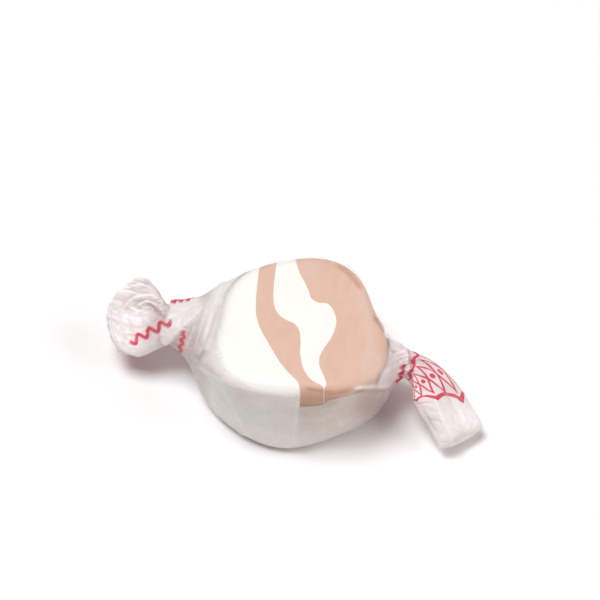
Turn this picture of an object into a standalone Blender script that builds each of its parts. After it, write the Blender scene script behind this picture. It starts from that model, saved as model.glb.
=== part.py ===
"""A piece of striped salt water taffy in its twisted waxed-paper wrapper.

The candy is a short round slab of pulled taffy whose four coloured layers run
right through it, from the front rim to the back and from top to bottom. One
sheet of paper is rolled round it, with its edges overlapping along the back,
and both ends are twisted shut and fan out into tails.

Frame: origin at the middle of the flat underside, +X along the twisted ends
(towards the tail that droops), +Y to the back, +Z up. Lengths are written in
millimetres and scaled to metres when the meshes are made.
"""

import math

import bmesh
import bpy
import numpy as np
from mathutils import Vector
from mathutils.bvhtree import BVHTree

MM = 0.001
# Points closer than this, in metres, are one point
MERGE_DISTANCE = 0.000005

# Candy slab
SLAB_CENTRE = (0.1, -0.3)
SLAB_RADIUS = 13.4
SLAB_BOTTOM = 0.6
SLAB_TOP = 13.7
RIM_ROUNDING = 2.2
# How far the underside is pushed towards -X of the top
SLAB_LEAN = 2.0
# Lobes round the slab's outline: how many, their size, and their direction in degrees
OUTLINE_LOBES = ((2, 0.40, -140), (3, 0.82, -71), (4, 0.60, -127), (5, 0.20, 30))
UNDERSIDE_LOBES = ((1, 0.71, -40), (3, 0.17, -144), (4, 0.94, 7), (5, 0.39, -47))
SLAB_STEPS = 64
RIM_STEPS = 4
LAYER_GAP = 0.3

# Borders between the layers, as seen from above, from the back to the front
BORDER_RIBBON_LEFT = (
    (-8.8, 14.5), (-8.5, 10.6), (-7.8, 4.9), (-7.3, 1.9), (-6.6, -0.6), (-5.3, -3.0), (-1.8, -7.8),
    (0.1, -9.8), (1.6, -11.1), (2.4, -12.3), (2.8, -14.5),
)
BORDER_RIBBON_RIGHT = (
    (-6.3, 14.5), (-5.7, 9.1), (-5.3, 5.8), (-4.7, 3.0), (-3.8, 1.2), (-2.4, 0.1), (-0.8, -0.5), (0.2, -1.7),
    (0.8, -3.7), (1.2, -6.0), (2.3, -8.5), (3.9, -10.5), (5.6, -11.9), (6.4, -14.5),
)
BORDER_CORE_RIGHT = (
    (-4.0, 14.5), (-2.2, 10.2), (-0.9, 8.1), (0.1, 6.4), (0.8, 5.0), (2.0, 4.3), (3.4, 4.4), (4.4, 3.5),
    (5.3, 1.7), (5.5, -0.1), (5.2, -2.3), (4.5, -4.4), (4.2, -6.2), (4.6, -8.3), (5.5, -10.2), (6.8, -12.0),
    (7.3, -14.5),
)
BORDER_STEPS = 3
LAYER_REACH = 20.0

# Paper sheet, and how far it stands off the candy
PAPER = 0.3
PAPER_CLEARANCE = 0.3
PAPER_ROUNDING = 2.0
SHEET_COLUMNS = 54
# Paper lower than this is pressed flat on the surface that the candy lies on
RESTING = 0.1
# The flat middle of the underside goes on into arms that the candy rests on, and the paper lifts a little
# between them: the middle's place, the distances from it over which the lift grows, the arms' number and
# heading in degrees, how far the paper lifts, and the height at which the lift has faded
REST_MIDDLE = (-1.9, -0.3)
REST_RUN = (5.0, 10.0)
REST_ARMS = 4
REST_HEADING = 30.0
REST_LIFT = 0.10
REST_DEPTH = 1.2

# Overlapping edge of the sheet: where it starts round the candy, and how the outer flap is lifted
SEAM_ANGLE = 160.0
SEAM_OVERLAP = 45.0
SEAM_LIFT = 0.6
SEAM_RAMP = 28.0
SEAM_REST = 6.0

# Twists, where the paper is gathered to a neck on each side of the candy
NECK_LEFT = (-21.5, 1.4, 7.0)
NECK_RIGHT = (16.5, 0.6, 7.0)
NECK_RADIUS_LEFT = 2.5
NECK_RADIUS_RIGHT = 2.1
LEFT_TWIST = -110.0
RIGHT_TWIST = 90.0
# From where to where along X the paper turns
LEFT_TWIST_RUN = (-17.5, -25.5)
RIGHT_TWIST_RUN = (14.5, 20.5)

# The cones between the candy and the necks: where they leave the candy, and how much they sink inwards
SLAB_LEFT = -14.7
SLAB_RIGHT = 14.3
LEFT_HOLLOW = 0.10
RIGHT_HOLLOW = 0.20
# How much more the left cone sinks in on its underside
LEFT_UNDERCUT = 3.0

# Rings of the sheet between the necks: how strongly they crowd at the candy's sides, and how far and over
# which share of the way their columns are spread to suit the wide slab
BODY_RINGS = 23
RING_CROWDING = 0.55
COLUMN_SPREAD = 0.9
SPREAD_RUN = 1.0 / 3.0

# Tails, as stations: x, y, z, width, thickness, roll of the width in degrees, dish of the face,
# and how far the two edges lag behind the middle
LEFT_TAIL = (
    (-31.4, 2.6, 7.2, 11.0, 3.2, -34.0, 1.4, 3.0),
    (-29.2, 2.3, 7.1, 12.4, 3.4, -34.0, 1.8, 1.6),
    (-26.9, 1.9, 6.9, 12.2, 3.2, -32.0, 1.5, 0.6),
    (-24.6, 1.7, 6.8, 10.4, 3.2, -26.0, 0.8, 0.0),
    (-22.9, 1.5, 6.9, 7.2, 3.8, -12.0, 0.2, 0.0),
    (-21.5, 1.4, 7.0, 5.0, 5.0, 0.0, 0.0, 0.0),
)
RIGHT_TAIL = (
    (16.5, 0.6, 7.0, 4.2, 4.2, 0.0, 0.0, 0.0),
    (18.0, 0.2, 6.7, 5.2, 3.8, 4.0, 0.0, 0.0),
    (19.8, -1.1, 5.9, 8.2, 3.0, 8.0, 0.0, 0.0),
    (22.4, -3.2, 4.5, 8.4, 2.9, 8.0, 0.2, 0.0),
    (25.0, -6.0, 3.3, 8.0, 2.9, 4.0, 0.2, 0.0),
    (27.4, -8.5, 2.2, 7.8, 2.8, 0.0, 0.2, 0.3),
)
LEFT_TAIL_RINGS = 12
RIGHT_TAIL_RINGS = 13
# How strongly the rings of a tail crowd at its neck
NECK_CROWDING = 1.15
# Distance over which a tail turns away from the neck's own direction
NECK_BEND = 8.0
# How much fuller than an ellipse a flat tail's edges are
EDGE_BLUNTNESS = 0.35

# Pleats gathered at the necks: their number and height, then where along X they are deepest and their reach
PLEATS = 8
LEFT_PLEAT_HEIGHT = 0.16
RIGHT_PLEAT_HEIGHT = 0.14
LEFT_PLEAT_PLACE = (-23.0, 4.0)
RIGHT_PLEAT_PLACE = (17.5, 2.2)
# Shallower pleats that go on into the fanned tail, and where the right cone's pleats begin
FAN_PLEAT_SHARE = 0.6
FAN_PLEAT_RUN = (-24.5, -28.5)
RIGHT_PLEAT_RUN = (14.0, 16.0)
# Where the tails turn flat, so that the pleats fade at their edges
LEFT_FLAT_RUN = (-20.5, -22.5)
RIGHT_FLAT_RUN = (15.5, 17.5)

# The loose fold that crosses in front of the left twist: place along X with its reach, then round the neck
FOLD_PLACE = (-22.0, 3.2)
FOLD_ANGLE = 100.0
FOLD_WIDTH = 34.0
FOLD_HEIGHT = 1.2

# Small turn of the sheet, in degrees, that shows which way is out
NUDGE = 0.5

# Colours as linear RGB with alpha
WHITE = (0.93, 0.915, 0.87, 1.0)
COCOA = (0.74, 0.46, 0.345, 1.0)
WAXED_PAPER = (0.90, 0.88, 0.87, 0.45)
CANDY_ROUGHNESS = 0.45
PAPER_ROUGHNESS = 0.35


def clear_scene():
    for item in list(bpy.data.objects):
        bpy.data.objects.remove(item, do_unlink=True)


def make_material(name, colour, roughness):
    material = bpy.data.materials.new(name)
    material.use_nodes = True
    shader = material.node_tree.nodes["Principled BSDF"]
    shader.inputs["Base Color"].default_value = colour
    shader.inputs["Alpha"].default_value = colour[3]
    shader.inputs["Roughness"].default_value = roughness
    shader.inputs["Metallic"].default_value = 0.0
    return material


def add_object(name, mesh, collection, material=None):
    piece = bpy.data.objects.new(name, mesh)
    collection.objects.link(piece)
    if material is not None:
        mesh.materials.append(material)
    return piece


def smoothstep(value):
    value = np.clip(value, 0.0, 1.0)
    return value * value * (3.0 - 2.0 * value)


def ramp(x, run):
    """Smooth rise from 0 at the run's start to 1 at its end."""
    return smoothstep((x - run[0]) / (run[1] - run[0]))


def swell(x, place):
    """Bell curve, 1 at the place's middle and fading over its reach."""
    return np.exp(-(((x - place[0]) / place[1]) ** 2))


def smooth_curve(points, positions):
    """Catmull-Rom curve through the points, read at positions from 0 to 1."""
    points = np.array(points, dtype=float)
    padded = np.vstack([2 * points[0] - points[1], points, 2 * points[-1] - points[-2]])
    spans = len(points) - 1
    place = np.clip(np.asarray(positions) * spans, 0.0, spans)
    index = np.minimum(place.astype(int), spans - 1)
    t = (place - index)[:, None]
    before, start, end, after = (padded[index + offset] for offset in range(4))
    return 0.5 * (
        2 * start
        + (end - before) * t
        + (2 * before - 5 * start + 4 * end - after) * t**2
        + (3 * start - before - 3 * end + after) * t**3
    )


def lobed(lobes, angle):
    return sum(size * math.cos(count * angle - math.radians(turn)) for count, size, turn in lobes)


def slab_outline(angle, depth):
    """Radius of the slab at an angle, relative to a round one; depth goes from 0 at the top to 1."""
    return 1.0 + (lobed(OUTLINE_LOBES, angle) + depth * lobed(UNDERSIDE_LOBES, angle)) / SLAB_RADIUS


def slab_profile(grow, rounding):
    """Half section of the slab, from the middle of its top down to the middle of its underside."""
    radius = SLAB_RADIUS + grow
    top = SLAB_TOP + grow
    bottom = SLAB_BOTTOM - grow
    profile = [(0.0, top)]
    for centre_height, start in ((top - rounding, 90.0), (bottom + rounding, 0.0)):
        for step in range(RIM_STEPS + 1):
            angle = math.radians(start - 90.0 * step / RIM_STEPS)
            across = radius - rounding + rounding * math.cos(angle)
            profile.append((across, centre_height + rounding * math.sin(angle)))
    profile.append((0.0, bottom))
    return profile


def slab_mesh(grow, rounding):
    """The rounded slab, larger by grow on every side, as a turned profile with a shaped outline."""
    profile = slab_profile(grow, rounding)
    mesh = bpy.data.meshes.new("slab")
    mesh.from_pydata(
        [(x * MM, 0.0, z * MM) for x, z in profile],
        [(index, index + 1) for index in range(len(profile) - 1)],
        [],
    )
    turned = add_object("slab_profile", mesh, CUTTERS)
    screw = turned.modifiers.new("turn", "SCREW")
    screw.steps = SLAB_STEPS
    screw.render_steps = SLAB_STEPS
    screw.use_merge_vertices = True
    screw.merge_threshold = MERGE_DISTANCE
    slab = bpy.data.meshes.new_from_object(turned.evaluated_get(bpy.context.evaluated_depsgraph_get()))
    bpy.data.objects.remove(turned)
    for vertex in slab.vertices:
        depth = 1.0 - vertex.co.z / (SLAB_TOP * MM)
        scale = slab_outline(math.atan2(vertex.co.y, vertex.co.x), depth)
        vertex.co.x = vertex.co.x * scale + (SLAB_CENTRE[0] - SLAB_LEAN * depth) * MM
        vertex.co.y = vertex.co.y * scale + SLAB_CENTRE[1] * MM
    return slab


def shifted(line, distance):
    """A copy of a plan line, moved sideways towards +X."""
    direction = np.gradient(line, axis=0)
    direction /= np.linalg.norm(direction, axis=1)[:, None]
    return line + distance * np.column_stack([-direction[:, 1], direction[:, 0]])


def weld(mesh):
    shape = bmesh.new()
    shape.from_mesh(mesh)
    bmesh.ops.remove_doubles(shape, verts=shape.verts, dist=MERGE_DISTANCE)
    bmesh.ops.recalc_face_normals(shape, faces=shape.faces)
    shape.to_mesh(mesh)
    shape.free()


def layer_cutter(name, left, right):
    """An upright block between two plan lines, made from a flat filled curve."""
    outline = np.vstack([left, right[::-1]])
    curve = bpy.data.curves.new(name, "CURVE")
    curve.dimensions = "2D"
    curve.fill_mode = "BOTH"
    curve.extrude = SLAB_TOP * MM
    spline = curve.splines.new("POLY")
    spline.points.add(len(outline) - 1)
    for point, (x, y) in zip(spline.points, outline):
        point.co = (x * MM, y * MM, 0.0, 1.0)
    spline.use_cyclic_u = True
    drawn = bpy.data.objects.new(name, curve)
    drawn.location.z = 0.5 * SLAB_TOP * MM
    CUTTERS.objects.link(drawn)
    mesh = bpy.data.meshes.new_from_object(drawn.evaluated_get(bpy.context.evaluated_depsgraph_get()))
    block = add_object(name + "_cutter", mesh, CUTTERS)
    block.location = drawn.location
    bpy.data.objects.remove(drawn)
    weld(mesh)
    block.hide_render = True
    block.display_type = "WIRE"
    return block


def make_layers():
    """Cut the slab into its four layers, with a fine gap at each border."""
    white = make_material("white_taffy", WHITE, CANDY_ROUGHNESS)
    cocoa = make_material("cocoa_taffy", COCOA, CANDY_ROUGHNESS)
    steps = BORDER_STEPS * (len(BORDER_CORE_RIGHT) - 1)
    positions = np.linspace(0.0, 1.0, steps + 1)
    named_borders = (BORDER_RIBBON_LEFT, BORDER_RIBBON_RIGHT, BORDER_CORE_RIGHT)
    borders = [smooth_curve(points, positions) for points in named_borders]
    ends = np.array([[0.0, borders[0][0][1]], [0.0, borders[0][-1][1]]])
    edges = [ends + [-LAYER_REACH, 0.0]] + borders + [ends + [LAYER_REACH, 0.0]]
    layers = (
        ("taffy_white_outer", white),
        ("taffy_cocoa_ribbon", cocoa),
        ("taffy_white_core", white),
        ("taffy_cocoa_outer", cocoa),
    )
    for index, (name, material) in enumerate(layers):
        left = shifted(edges[index], 0.5 * LAYER_GAP)
        right = shifted(edges[index + 1], -0.5 * LAYER_GAP)
        layer = add_object(name, slab_mesh(0.0, RIM_ROUNDING), PART, material)
        cut = layer.modifiers.new("between_borders", "BOOLEAN")
        cut.operation = "INTERSECT"
        cut.solver = "EXACT"
        cut.object = layer_cutter(name, left, right)


def paper_form():
    """The taut shape of the paper: a hull round the slab and the two necks, for casting rays at."""
    shape = bmesh.new()
    shape.from_mesh(slab_mesh(PAPER + PAPER_CLEARANCE, PAPER_ROUNDING))
    for neck, radius in ((NECK_LEFT, NECK_RADIUS_LEFT), (NECK_RIGHT, NECK_RADIUS_RIGHT)):
        for step in range(SLAB_STEPS):
            angle = math.tau * step / SLAB_STEPS
            side = radius * math.cos(angle)
            height = radius * math.sin(angle)
            shape.verts.new(Vector((neck[0], neck[1] + side, neck[2] + height)) * MM)
    hull = bmesh.ops.convex_hull(shape, input=shape.verts)
    bmesh.ops.delete(shape, geom=hull["geom_interior"], context="VERTS")
    tree = BVHTree.FromBMesh(shape)
    shape.free()
    return tree


def body_positions():
    """X of the rings between the necks, closer together at the slab's two sides."""
    middle = 0.5 * (NECK_LEFT[0] + NECK_RIGHT[0])
    half = 0.5 * (NECK_RIGHT[0] - NECK_LEFT[0])
    turn = np.linspace(-1.0, 1.0, BODY_RINGS)
    return middle + half * ((1.0 - RING_CROWDING) * turn + RING_CROWDING * np.sin(0.5 * math.pi * turn))


def body_section(form, x, angles):
    """Points of the taut paper in the upright plane at x."""
    along = (x - NECK_LEFT[0]) / (NECK_RIGHT[0] - NECK_LEFT[0])
    neck_y = NECK_LEFT[1] + along * (NECK_RIGHT[1] - NECK_LEFT[1])
    middle = Vector((x, neck_y, NECK_LEFT[2])) * MM
    inside = 1.0 - abs(2.0 * along - 1.0)
    stretch = 1.0 + COLUMN_SPREAD * float(smoothstep(inside / SPREAD_RUN))
    off_left = np.clip((SLAB_LEFT - x) / (SLAB_LEFT - NECK_LEFT[0]), 0.0, 1.0)
    off_right = np.clip((x - SLAB_RIGHT) / (NECK_RIGHT[0] - SLAB_RIGHT), 0.0, 1.0)
    sink_left = LEFT_HOLLOW * math.sin(math.pi * off_left)
    sink_right = RIGHT_HOLLOW * math.sin(math.pi * off_right)
    neck_radius = NECK_RADIUS_LEFT + along * (NECK_RADIUS_RIGHT - NECK_RADIUS_LEFT)
    points = []
    for angle in angles:
        aim = Vector((0.0, -math.cos(angle) * stretch, math.sin(angle))).normalized()
        hit, _, _, distance = form.ray_cast(middle, aim)
        reach = neck_radius if hit is None else distance / MM
        sink = sink_left * (1.0 + LEFT_UNDERCUT * max(-aim.z, 0.0)) + sink_right
        reach = max(reach * (1.0 - sink), neck_radius)
        points.append((x, neck_y + aim.y * reach, NECK_LEFT[2] + aim.z * reach))
    return points


def tail_section(station, heading, angles):
    """Points of a flattened, slightly dished tube across a tail."""
    x, y, z, width, thickness, roll, dish, lag = station
    forward = heading / np.linalg.norm(heading)
    front = np.cross(forward, (0.0, 0.0, 1.0))
    front /= np.linalg.norm(front)
    above = np.cross(front, forward)
    roll = math.radians(roll)
    across = math.cos(roll) * front + math.sin(roll) * above
    upward = math.cos(roll) * above - math.sin(roll) * front
    side = np.cos(angles)
    blunt = 1.0 - EDGE_BLUNTNESS * (1.0 - thickness / width)
    rounded = np.sign(np.sin(angles)) * np.abs(np.sin(angles)) ** blunt
    rise = 0.5 * thickness * rounded + dish * (side**2 - 0.5)
    ahead = forward * math.copysign(1.0, -x)
    flat = np.array((x, y, z)) + np.outer(0.5 * width * side, across) + np.outer(rise, upward)
    return flat + np.outer(lag * side**2, ahead)


def tail_rings(stations, rings):
    """Stations and headings along a tail, closer together at its neck."""
    positions = np.linspace(0.0, 1.0, rings)
    if stations[0][0] > 0.0:
        positions = positions**NECK_CROWDING
    else:
        positions = 1.0 - (1.0 - positions) ** NECK_CROWDING
    spread = smooth_curve(stations, positions)
    headings = np.gradient(spread[:, :3], axis=0)
    headings /= np.linalg.norm(headings, axis=1)[:, None]
    neck = NECK_RIGHT if stations[0][0] > 0.0 else NECK_LEFT
    leaving = smoothstep(np.linalg.norm(spread[:, :3] - neck, axis=1) / NECK_BEND)[:, None]
    return spread, (1.0 - leaving) * (1.0, 0.0, 0.0) + leaving * headings


def turned(columns, x):
    """Angles of the columns at x, in radians, with the twist: none over the candy, all in the tails."""
    twist = LEFT_TWIST * ramp(x, LEFT_TWIST_RUN) + RIGHT_TWIST * ramp(x, RIGHT_TWIST_RUN)
    return np.radians(SEAM_ANGLE + columns + twist)


def base_rings(form, columns):
    """The smooth sheet: rings of points from the left tail's end to the right tail's end."""
    rings = []
    left_stations, left_headings = tail_rings(LEFT_TAIL, LEFT_TAIL_RINGS)
    for station, heading in zip(left_stations[:-1], left_headings[:-1]):
        rings.append(tail_section(station, heading, turned(columns, station[0])))
    for x in body_positions():
        rings.append(np.array(body_section(form, x, turned(columns, x))))
    right_stations, right_headings = tail_rings(RIGHT_TAIL, RIGHT_TAIL_RINGS)
    for station, heading in zip(right_stations[1:], right_headings[1:]):
        rings.append(tail_section(station, heading, turned(columns, station[0])))
    return np.array(rings)


def outward(rings, nudge):
    """Directions out of the sheet, from the rings and a copy turned a little round."""
    around = nudge - rings
    along = np.gradient(rings, axis=0)
    normal = np.cross(along, around)
    return normal / np.linalg.norm(normal, axis=2)[:, :, None]


def pleat_height(rings, columns):
    """Pleats gathered towards the necks, fading at a flat tail's edges, and the fold at the left neck."""
    x = rings[:, :, 0].mean(axis=1)[:, None]
    flat = ramp(x, LEFT_FLAT_RUN) + ramp(x, RIGHT_FLAT_RUN)
    calm = 1.0 - flat * np.cos(turned(columns[None, :], x)) ** 2
    left = swell(x, LEFT_PLEAT_PLACE) + FAN_PLEAT_SHARE * ramp(x, FAN_PLEAT_RUN)
    right = swell(x, RIGHT_PLEAT_PLACE) * ramp(x, RIGHT_PLEAT_RUN)
    height = LEFT_PLEAT_HEIGHT * left + RIGHT_PLEAT_HEIGHT * right
    pleats = height * calm * np.cos(np.radians(PLEATS * columns))[None, :]
    from_fold = (columns + SEAM_ANGLE - FOLD_ANGLE + 180.0) % 360.0 - 180.0
    fold = FOLD_HEIGHT * swell(x, FOLD_PLACE) * swell(from_fold, (0.0, FOLD_WIDTH))[None, :]
    return pleats + fold


def rest_lift(points):
    """How far the paper stands off the resting surface between the arms of its underside."""
    away = points[:, :, :2] - REST_MIDDLE
    bearing = np.arctan2(away[:, :, 1], away[:, :, 0]) - math.radians(REST_HEADING)
    between = 0.5 * (1.0 - np.cos(REST_ARMS * bearing))
    low = np.clip(1.0 - points[:, :, 2] / REST_DEPTH, 0.0, 1.0)
    return REST_LIFT * between * low * ramp(np.linalg.norm(away, axis=2), REST_RUN)


def make_wrapper():
    """Roll the sheet round the candy and give it the paper's thickness."""
    form = paper_form()
    columns = np.linspace(0.0, 360.0 + SEAM_OVERLAP, SHEET_COLUMNS)
    rings = base_rings(form, columns)
    out = outward(rings, base_rings(form, columns + NUDGE))
    lift = SEAM_LIFT * ramp(columns, (360.0 - SEAM_REST - SEAM_RAMP, 360.0 - SEAM_REST))
    rings = rings + out * (pleat_height(rings, columns) + lift[None, :])[:, :, None]
    rings[:, :, 2] = np.where(rings[:, :, 2] < RESTING, 0.0, rings[:, :, 2])
    rings[:, :, 2] += rest_lift(rings)
    count, width = rings.shape[:2]
    faces = []
    for ring in range(count - 1):
        for column in range(width - 1):
            corner = ring * width + column
            faces.append((corner, corner + width, corner + width + 1, corner + 1))
    mesh = bpy.data.meshes.new("wrapper")
    mesh.from_pydata((rings.reshape(-1, 3) * MM).tolist(), [], faces)
    mesh.shade_smooth()
    sheet = add_object("wrapper", mesh, PART, make_material("waxed_paper", WAXED_PAPER, PAPER_ROUGHNESS))
    sheet.modifiers.new("split_faces", "TRIANGULATE")
    solid = sheet.modifiers.new("paper_thickness", "SOLIDIFY")
    solid.thickness = PAPER * MM
    solid.offset = -1.0


clear_scene()
PART = bpy.data.collections.new("wrapped_taffy")
CUTTERS = bpy.data.collections.new("cutters")
bpy.context.scene.collection.children.link(PART)
bpy.context.scene.collection.children.link(CUTTERS)
make_layers()
make_wrapper()
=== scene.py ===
"""Looks of a wrapped piece of striped salt water taffy.

The candy's four layers are made again as fine solids that meet along their borders, and the waxed paper is
made again as one fine sheet: clear where it clings to the top of the candy, milky where it stands off, and
gathered, twisted and creased at both ends. Lengths are in millimetres, in the same frame as the solids.
"""

import math
import random
from functools import reduce

import bmesh
import bpy
import numpy as np
from mathutils import Matrix, Vector
from mathutils.bvhtree import BVHTree


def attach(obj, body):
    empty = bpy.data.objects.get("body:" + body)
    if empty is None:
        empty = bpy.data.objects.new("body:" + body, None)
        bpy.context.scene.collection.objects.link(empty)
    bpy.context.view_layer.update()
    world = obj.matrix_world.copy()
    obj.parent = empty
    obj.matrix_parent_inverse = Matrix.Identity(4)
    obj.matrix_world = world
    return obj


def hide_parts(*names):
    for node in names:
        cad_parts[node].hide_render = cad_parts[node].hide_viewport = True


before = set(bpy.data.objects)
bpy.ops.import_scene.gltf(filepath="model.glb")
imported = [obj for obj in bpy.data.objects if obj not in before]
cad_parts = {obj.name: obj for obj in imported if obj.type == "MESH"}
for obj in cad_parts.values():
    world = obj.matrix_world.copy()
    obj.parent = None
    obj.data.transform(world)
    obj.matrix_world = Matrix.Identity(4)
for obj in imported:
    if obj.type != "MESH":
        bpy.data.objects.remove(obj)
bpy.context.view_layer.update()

MM = 0.001
MERGE_DISTANCE = 0.000005
TINY = 1e-9

# Camera: where it looks from, and the pixel of the picture where the candy's middle falls
IMAGE = 600
SENSOR = 36.0
LENS = 100.0
VIEW_AZIMUTH = math.radians(11.0)
VIEW_ELEVATION = math.radians(50.0)
VIEW_DISTANCE = 260.0
CLIP_START = 0.01
MIDDLE = (0.0, 0.0, 7.0)
MIDDLE_ROW = 351

# Candy slab, as in the solids, filled out to just under the paper
SLAB_CENTRE = (0.1, -0.3)
SLAB_RADIUS = 13.4
SLAB_BOTTOM = 0.6
SLAB_TOP = 13.7
SLAB_LEAN = 2.0
OUTLINE_LOBES = ((2, 0.40, -140), (3, 0.82, -71), (4, 0.60, -127), (5, 0.20, 30))
UNDERSIDE_LOBES = ((1, 0.71, -40), (3, 0.17, -144), (4, 0.94, 7), (5, 0.39, -47))
CANDY_GROWTH = 0.48
CANDY_ROUNDING = 2.2
CANDY_STEPS = 200
CANDY_RIM_STEPS = 9
CANDY_FLAT_RINGS = 16
CANDY_WALL_RINGS = 10
CANDY_SHARP_ANGLE = 40.0

# Borders between the layers, as seen from above, from the back to the front
BORDER_RIBBON_LEFT = (
    (-8.8, 14.5), (-8.5, 10.6), (-7.8, 4.9), (-7.3, 1.9), (-6.6, -0.6), (-5.3, -3.0), (-1.8, -7.8),
    (0.1, -9.8), (1.6, -11.1), (2.4, -12.3), (2.8, -14.5),
)
BORDER_RIBBON_RIGHT = (
    (-6.3, 14.5), (-5.7, 9.1), (-5.3, 5.8), (-4.7, 3.0), (-3.8, 1.2), (-2.4, 0.1), (-0.8, -0.5), (0.2, -1.7),
    (0.8, -3.7), (1.2, -6.0), (2.2, -8.7), (3.8, -10.6), (5.5, -11.3), (5.9, -12.3), (6.2, -14.5),
)
BORDER_CORE_RIGHT = (
    (-4.0, 14.5), (-2.2, 10.2), (-0.9, 8.1), (0.1, 6.4), (0.8, 5.0), (2.0, 4.3), (3.4, 4.4), (4.4, 3.5),
    (5.3, 1.7), (5.5, -0.1), (5.2, -2.3), (4.5, -4.4), (4.2, -6.2), (4.5, -7.8), (5.4, -9.4), (6.05, -10.7),
    (6.05, -11.9), (6.33, -14.5),
)
BORDER_STEPS = 9
LAYER_REACH = 20.0

# Paper sheet
PAPER_STAND_OFF = 0.6
CANDY_CLEARANCE = 0.05
PAPER_ROUNDING = 2.0
SEAM_ANGLE = 160.0
SEAM_OVERLAP = 45.0
SEAM_LIFT = 0.35
SEAM_RAMP = 28.0
SEAM_REST = 6.0
SHEET_COLUMNS = 290
BODY_RINGS = 150
TAIL_RINGS = 76
FORM_STEPS = 180
RING_CROWDING = 0.45
COLUMN_SPREAD = 0.9
SPREAD_RUN = 1.0 / 3.0
SOFTENING = 1.6

# Twists and necks
NECK_LEFT = (-21.5, 1.4, 7.0)
NECK_RIGHT = (16.5, 0.6, 7.0)
NECK_RADIUS_LEFT = 2.5
NECK_RADIUS_RIGHT = 2.1
LEFT_TWIST = -110.0
RIGHT_TWIST = 90.0
LEFT_TWIST_RUN = (-17.5, -25.5)
RIGHT_TWIST_RUN = (14.5, 20.5)
SLAB_LEFT = -14.7
SLAB_RIGHT = 14.3
LEFT_HOLLOW = 0.10
RIGHT_HOLLOW = 0.20
# How much more the left cone sinks in below
LEFT_UNDERCUT = 3.0

# Tails, as stations: x, y, z, width, thickness, roll of the width in degrees, dish of the face,
# and how far the two edges lag behind the middle
LEFT_TAIL = (
    (-31.4, 2.6, 7.2, 11.0, 3.2, -34.0, 1.4, 3.0),
    (-29.2, 2.3, 7.1, 12.4, 3.4, -34.0, 1.8, 1.6),
    (-26.9, 1.9, 6.9, 12.2, 3.2, -32.0, 1.5, 0.6),
    (-24.6, 1.7, 6.8, 10.4, 3.2, -26.0, 0.8, 0.0),
    (-22.9, 1.5, 6.9, 7.2, 3.8, -12.0, 0.2, 0.0),
    (-21.5, 1.4, 7.0, 5.0, 5.0, 0.0, 0.0, 0.0),
)
RIGHT_TAIL = (
    (16.5, 0.6, 7.0, 4.2, 4.2, 0.0, 0.0, 0.0),
    (18.0, 0.2, 6.7, 5.2, 3.8, 4.0, 0.0, 0.0),
    (19.8, -1.1, 5.9, 8.2, 3.0, 8.0, 0.0, 0.0),
    (22.4, -3.2, 4.5, 8.4, 2.9, 8.0, 0.2, 0.0),
    (24.6, -5.6, 3.5, 8.0, 2.9, 4.0, 0.2, 0.0),
    (26.1, -7.2, 2.7, 7.9, 2.7, 1.0, 0.2, 0.2),
    (27.1, -8.3, 1.7, 7.8, 1.3, 0.0, 0.2, 0.55),
)
NECK_CROWDING = 1.15
NECK_BEND = 8.0
EDGE_BLUNTNESS = 0.35

# Pleats gathered at the necks: how many round the sheet, how deep, and where one hollow lies, in degrees
PLEATS = ((8, 0.16, 0.0), (19, 0.09, 40.0), (31, 0.05, 110.0), (47, 0.025, 75.0))
LEFT_PLEAT_PLACE = (-22.5, 4.6)
RIGHT_PLEAT_PLACE = (17.0, 3.0)
FAN_PLEAT_SHARE = 0.6
FAN_PLEAT_RUN = (-24.5, -28.5)
TAIL_PLEAT_SHARE = 0.06
TAIL_PLEAT_RUN = (18.5, 21.0)
# How much the pleats fade at a flat tail's edges
PLEAT_EDGE_CALM = 0.85
# How far the pleats wander, in turns, how that shifts from set to set, and how fast it changes along X
PLEAT_WANDER = (0.12, 0.35, 0.4)
LEFT_FLAT_RUN = (-20.5, -22.5)
RIGHT_FLAT_RUN = (15.5, 17.5)
# Fold at the left neck
NECK_FOLD_PLACE = (-22.0, 3.2)
NECK_FOLD_ANGLE = 100.0
NECK_FOLD_WIDTH = 34.0
NECK_FOLD_HEIGHT = 1.2

# Random creases pressed into the sheet: how many, how far they turn from X in radians, then the ends between
# which their half lengths, half widths and depths are drawn
CREASE_SEED = 7
CREASE_COUNT = 420
CREASE_TURN = 0.7
CREASE_HALF_LENGTHS = (1.5, 6.0)
CREASE_HALF_WIDTHS = (0.35, 1.1)
CREASE_DEPTHS = (-0.6, 1.0)
# How deep they are pressed where the sheet is loose and where it clings, and the gaps from one to the other
LOOSE_CREASE = 0.20
TIGHT_CREASE = 0.025
LOOSE_GAP = (0.10, 0.50)
# How much smoother the tails' open faces are, and from where to where along X that sets in
TAIL_CALM = 0.6
LEFT_CALM_RUN = (-23.0, -26.0)
RIGHT_CALM_RUN = (18.0, 20.5)

# All that the picture places on the paper comes next, in pixels, columns before rows. A facing is the range
# of the cosine between paper and camera over which something fades in.
# Points of a smoothed line for each given one, and the reaches after which a bell curve has faded out
LINE_FINENESS = 4
BELL_END = 4.0

# Band of doubled paper from the back of the left cone across the neck to the tail's lower rim: its edges, its
# height in mm at the cone and what the neck adds
BAND_LOWER = (
    (214, 299), (208, 307), (200, 316), (190, 326), (180, 337), (172, 343), (163, 346), (150, 351),
    (138, 354), (124, 352), (116, 345), (110, 332), (107, 318),
)
BAND_UPPER = (
    (219, 288), (205, 292), (190, 296), (176, 300), (171, 305), (169, 312), (167, 322), (160, 333),
    (150, 338), (137, 340), (125, 337), (118, 328), (114, 316),
)
BAND_HEIGHT = 0.55
BAND_NECK_HEIGHT = 0.75
BAND_NECK_PLACE = (-21.5, 3.2)
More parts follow.
